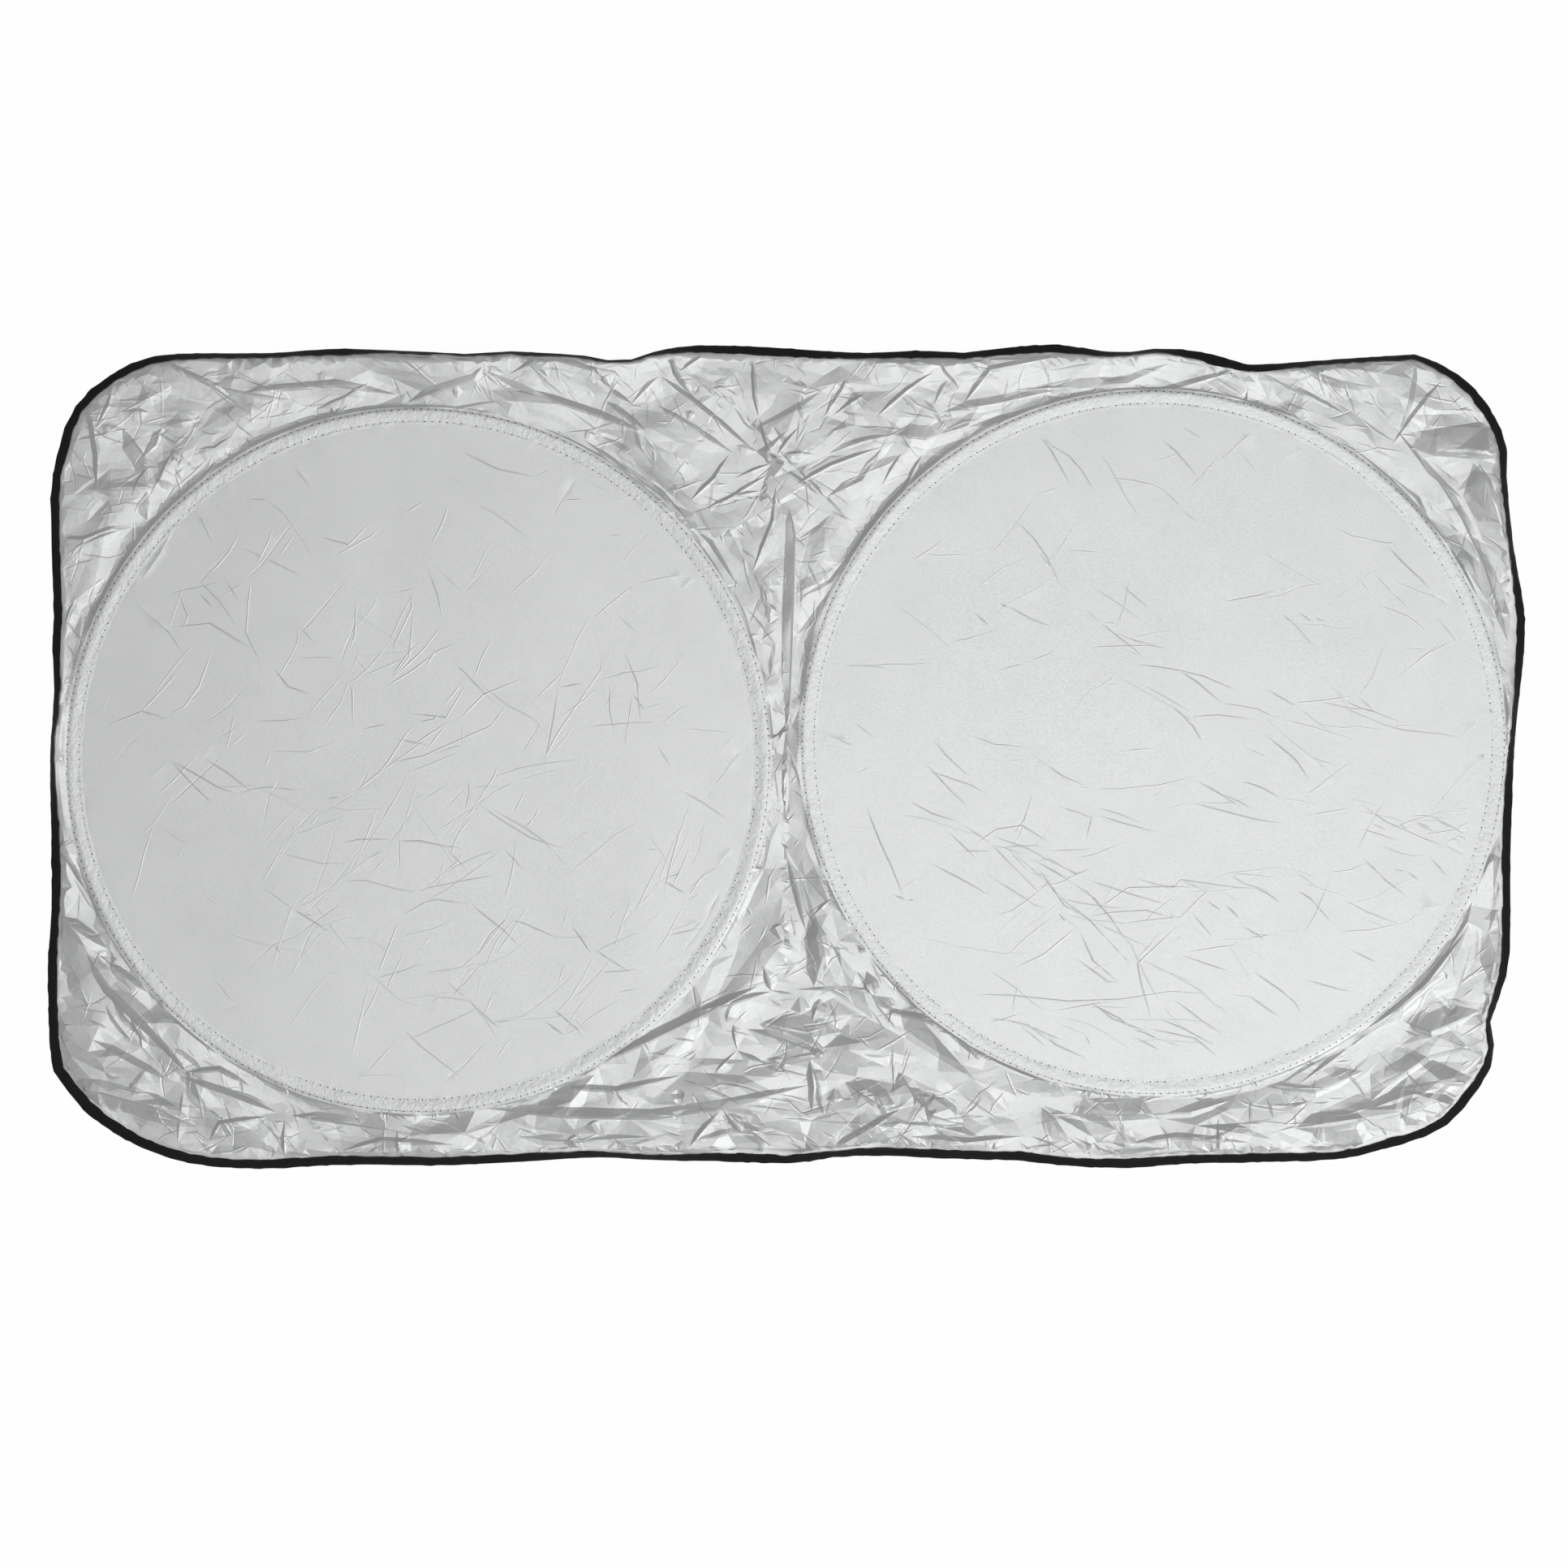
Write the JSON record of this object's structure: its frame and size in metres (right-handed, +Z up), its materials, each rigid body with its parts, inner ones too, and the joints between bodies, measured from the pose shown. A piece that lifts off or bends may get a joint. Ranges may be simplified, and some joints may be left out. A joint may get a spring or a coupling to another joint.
{
  "type": "windscreen sunshade",
  "caption": "Fold-away windscreen sunshade: silver-coated polyester sheet over a pair of sprung steel hoops, black tape bound round its creased edge",
  "frame": {"origin": "On the surface that the shade lies on, under the middle of its box", "axes": "+X along the shade's length to its right end, +Y to its top long edge, +Z up out of its silver front"},
  "size_m": [1.5, 0.837, 0.0131],
  "materials": {
    "silver_cloth": "silver-coated plain weave polyester with a satin sheen",
    "black_tape": "black woven binding tape, matt",
    "grey_tape": "grey woven casing tape",
    "spring_steel": "hardened spring steel band",
    "sleeve_steel": "crimped zinc-plated sleeve"
  },
  "bodies": {
    "root": {"shade_sheet": "silver_cloth", "edge_binding": "black_tape", "left_hoop": "spring_steel", "left_hoop_sleeve": "sleeve_steel", "left_hoop_casing": "grey_tape", "right_hoop": "spring_steel", "right_hoop_sleeve": "sleeve_steel", "right_hoop_casing": "grey_tape"}
  },
  "joints": []
}
